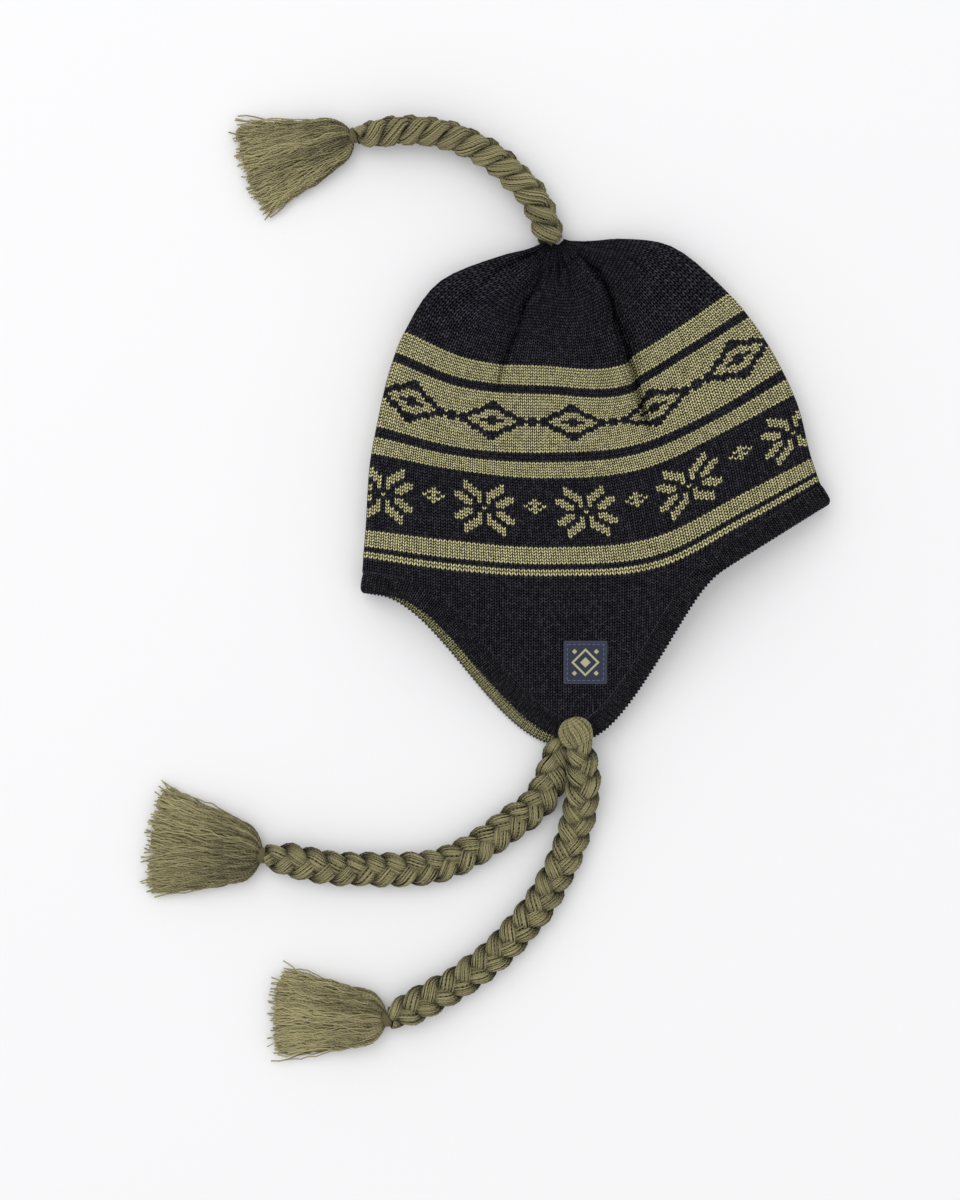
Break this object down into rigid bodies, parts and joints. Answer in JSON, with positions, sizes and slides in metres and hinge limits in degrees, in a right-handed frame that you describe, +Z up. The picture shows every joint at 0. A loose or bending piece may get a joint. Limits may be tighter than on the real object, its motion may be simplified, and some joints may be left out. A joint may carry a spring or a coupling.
{
  "type": "knitted ear-flap beanie",
  "caption": "Knitted jacquard beanie lying flat, with two ear flaps, a ribbed rim binding, a sewn patch, and plaited ties with tassels.",
  "frame": {"origin": "bottom centre of the hat's own box, on the surface that it lies on", "axes": "+Y from the rim to the crown's tip, +X across the hat to its right, +Z up off the surface"},
  "size_m": [0.3522, 0.4802, 0.0321],
  "materials": {
    "jacquard_knit": "fine jacquard knitting in near-black navy and olive yarn",
    "ribbed_binding": "ribbed knitting, dark outside and olive inside",
    "woven_patch": "tightly woven, with a sewn edge",
    "olive_yarn": "matte, slightly fuzzy acrylic yarn",
    "tie_thread": "matte wound yarn"
  },
  "bodies": {
    "root": {"knit_body": "jacquard_knit", "rim_binding": "ribbed_binding", "label_patch": "woven_patch", "near_root_loop": "olive_yarn", "near_braid": "olive_yarn", "near_tassel_tie": "tie_thread", "near_tassel": "olive_yarn", "far_braid": "olive_yarn", "far_tassel_tie": "tie_thread", "far_tassel": "olive_yarn", "crown_braid": "olive_yarn", "crown_tassel_tie": "tie_thread", "crown_tassel": "olive_yarn"}
  },
  "joints": []
}
